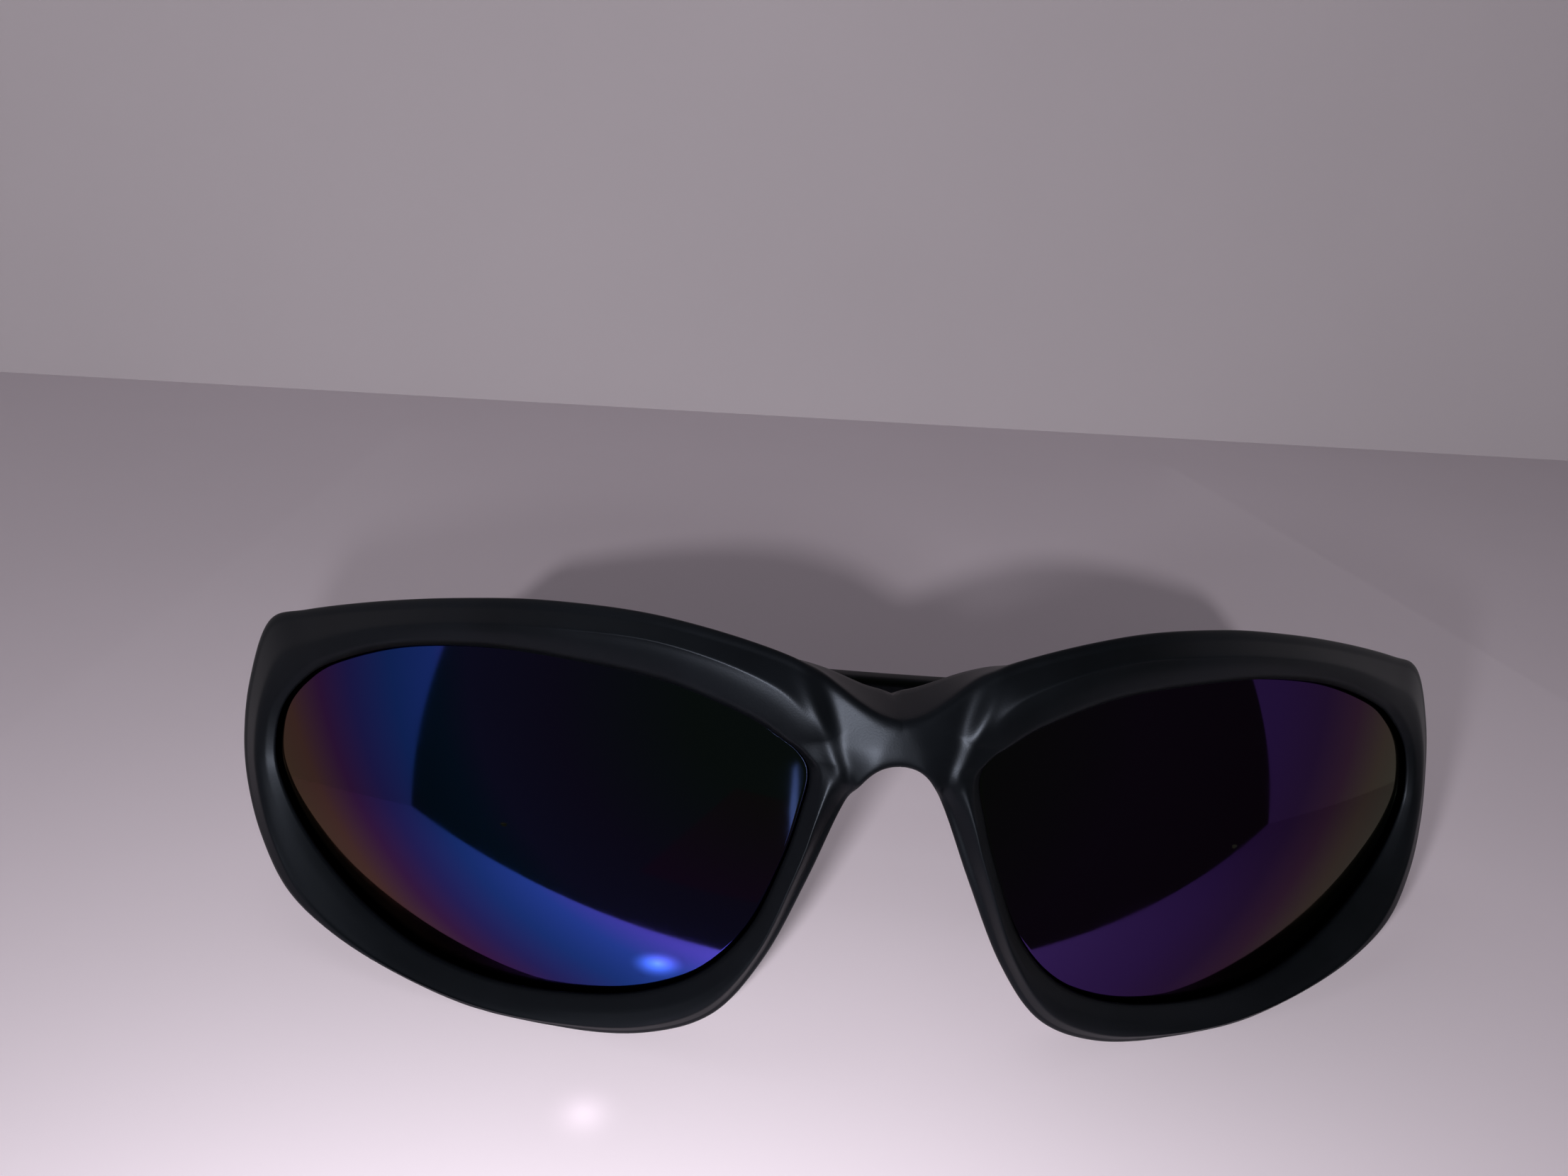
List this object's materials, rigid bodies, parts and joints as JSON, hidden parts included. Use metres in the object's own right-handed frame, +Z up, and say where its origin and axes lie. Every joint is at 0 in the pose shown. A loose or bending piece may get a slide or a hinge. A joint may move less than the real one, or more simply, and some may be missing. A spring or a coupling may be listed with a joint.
{
  "type": "safety glasses",
  "caption": "Folded wraparound safety glasses: thick moulded front, mirror-coated tinted lenses, soft nose pads, hinged temples with soft ear sleeves.",
  "frame": {"origin": "centre of the base of the folded glasses, on the surface they rest on", "axes": "+X to the viewer's right across the front, +Y from the lenses towards the wearer, +Z up"},
  "size_m": [0.1478, 0.0565, 0.045],
  "materials": {
    "frame_plastic": "satin black injection moulding",
    "lens_plastic": "dark tint with a gold, magenta and blue mirror coating",
    "soft_rubber": "matte",
    "hinge_steel": "fine satin"
  },
  "bodies": {
    "front": {"front_frame": "frame_plastic", "lens_right": "lens_plastic", "lens_left": "lens_plastic", "nose_pad_right": "soft_rubber", "nose_pad_left": "soft_rubber", "front_leaf_right": "hinge_steel", "front_leaf_left": "hinge_steel", "hinge_screw_right": "hinge_steel", "hinge_screw_left": "hinge_steel", "front_rivet_upper_right": "hinge_steel", "front_rivet_lower_right": "hinge_steel", "front_rivet_upper_left": "hinge_steel", "front_rivet_lower_left": "hinge_steel"},
    "temple_right": {"temple_right": "frame_plastic", "ear_sleeve_right": "soft_rubber", "temple_leaf_right": "hinge_steel", "temple_rivet_upper_right": "hinge_steel", "temple_rivet_lower_right": "hinge_steel"},
    "temple_left": {"temple_left": "frame_plastic", "ear_sleeve_left": "soft_rubber", "temple_leaf_left": "hinge_steel", "temple_rivet_upper_left": "hinge_steel", "temple_rivet_lower_left": "hinge_steel"}
  },
  "joints": [
    {"name": "temple_right_hinge", "type": "hinge", "parent": "front", "child": "temple_right", "pos_m": [0.0666, 0.01257, 0.019], "axis": [0, 0, -1], "range_deg": [0, 83]},
    {"name": "temple_left_hinge", "type": "hinge", "parent": "front", "child": "temple_left", "pos_m": [-0.0666, 0.01257, 0.019], "axis": [0, 0, 1], "range_deg": [0, 97]}
  ],
  "couplings": [
    {"joint": "temple_left_hinge", "follows": "temple_right_hinge", "ratio": 1.1686}
  ]
}
